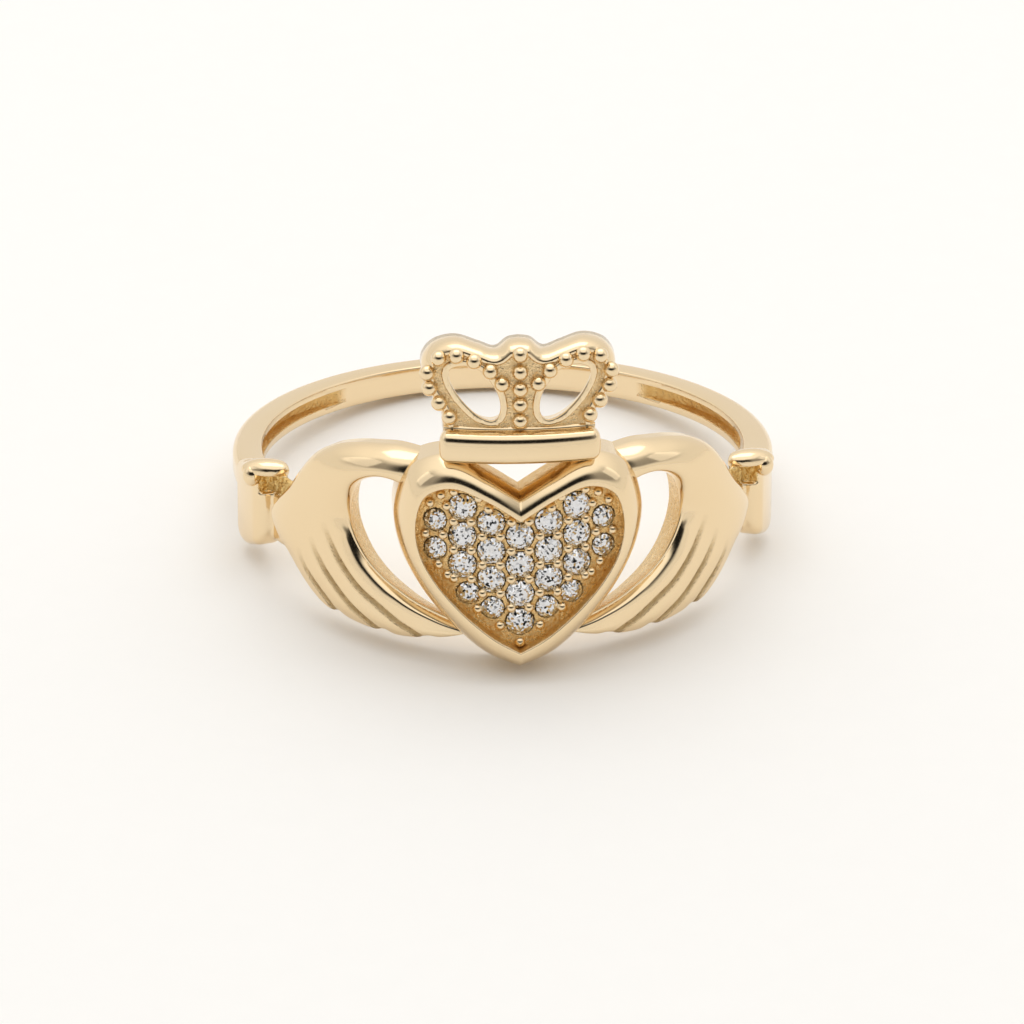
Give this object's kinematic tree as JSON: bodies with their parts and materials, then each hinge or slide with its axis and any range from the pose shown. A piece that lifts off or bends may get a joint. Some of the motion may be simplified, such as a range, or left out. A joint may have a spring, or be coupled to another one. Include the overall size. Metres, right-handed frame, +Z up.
{
  "type": "claddagh ring",
  "caption": "Finger ring in polished yellow gold: two cuffed hands hold a heart paved with small round stones, under a beaded crown, on a slim plain band.",
  "frame": {"origin": "on the table, under the middle of the ring's box, as the ring lies on the heart's tip and the back of the band", "axes": "+Z up from the table, -Y towards the heart, +X to the right as the heart is seen from the front"},
  "size_m": [0.0194, 0.0208, 0.012],
  "materials": {
    "gold": "polished 14 karat yellow gold, as cast in the recesses",
    "stone": "clear, brilliant cut"
  },
  "bodies": {
    "root": {"gold_ring": "gold", "stone_01": "stone", "stone_02": "stone", "stone_03": "stone", "stone_04": "stone", "stone_05": "stone", "stone_06": "stone", "stone_07": "stone", "stone_08": "stone", "stone_09": "stone", "stone_10": "stone", "stone_11": "stone", "stone_12": "stone", "stone_13": "stone", "stone_14": "stone", "stone_15": "stone", "stone_16": "stone", "stone_17": "stone", "stone_18": "stone", "stone_19": "stone", "stone_20": "stone", "stone_21": "stone", "stone_22": "stone", "stone_23": "stone", "stone_24": "stone"}
  },
  "joints": []
}
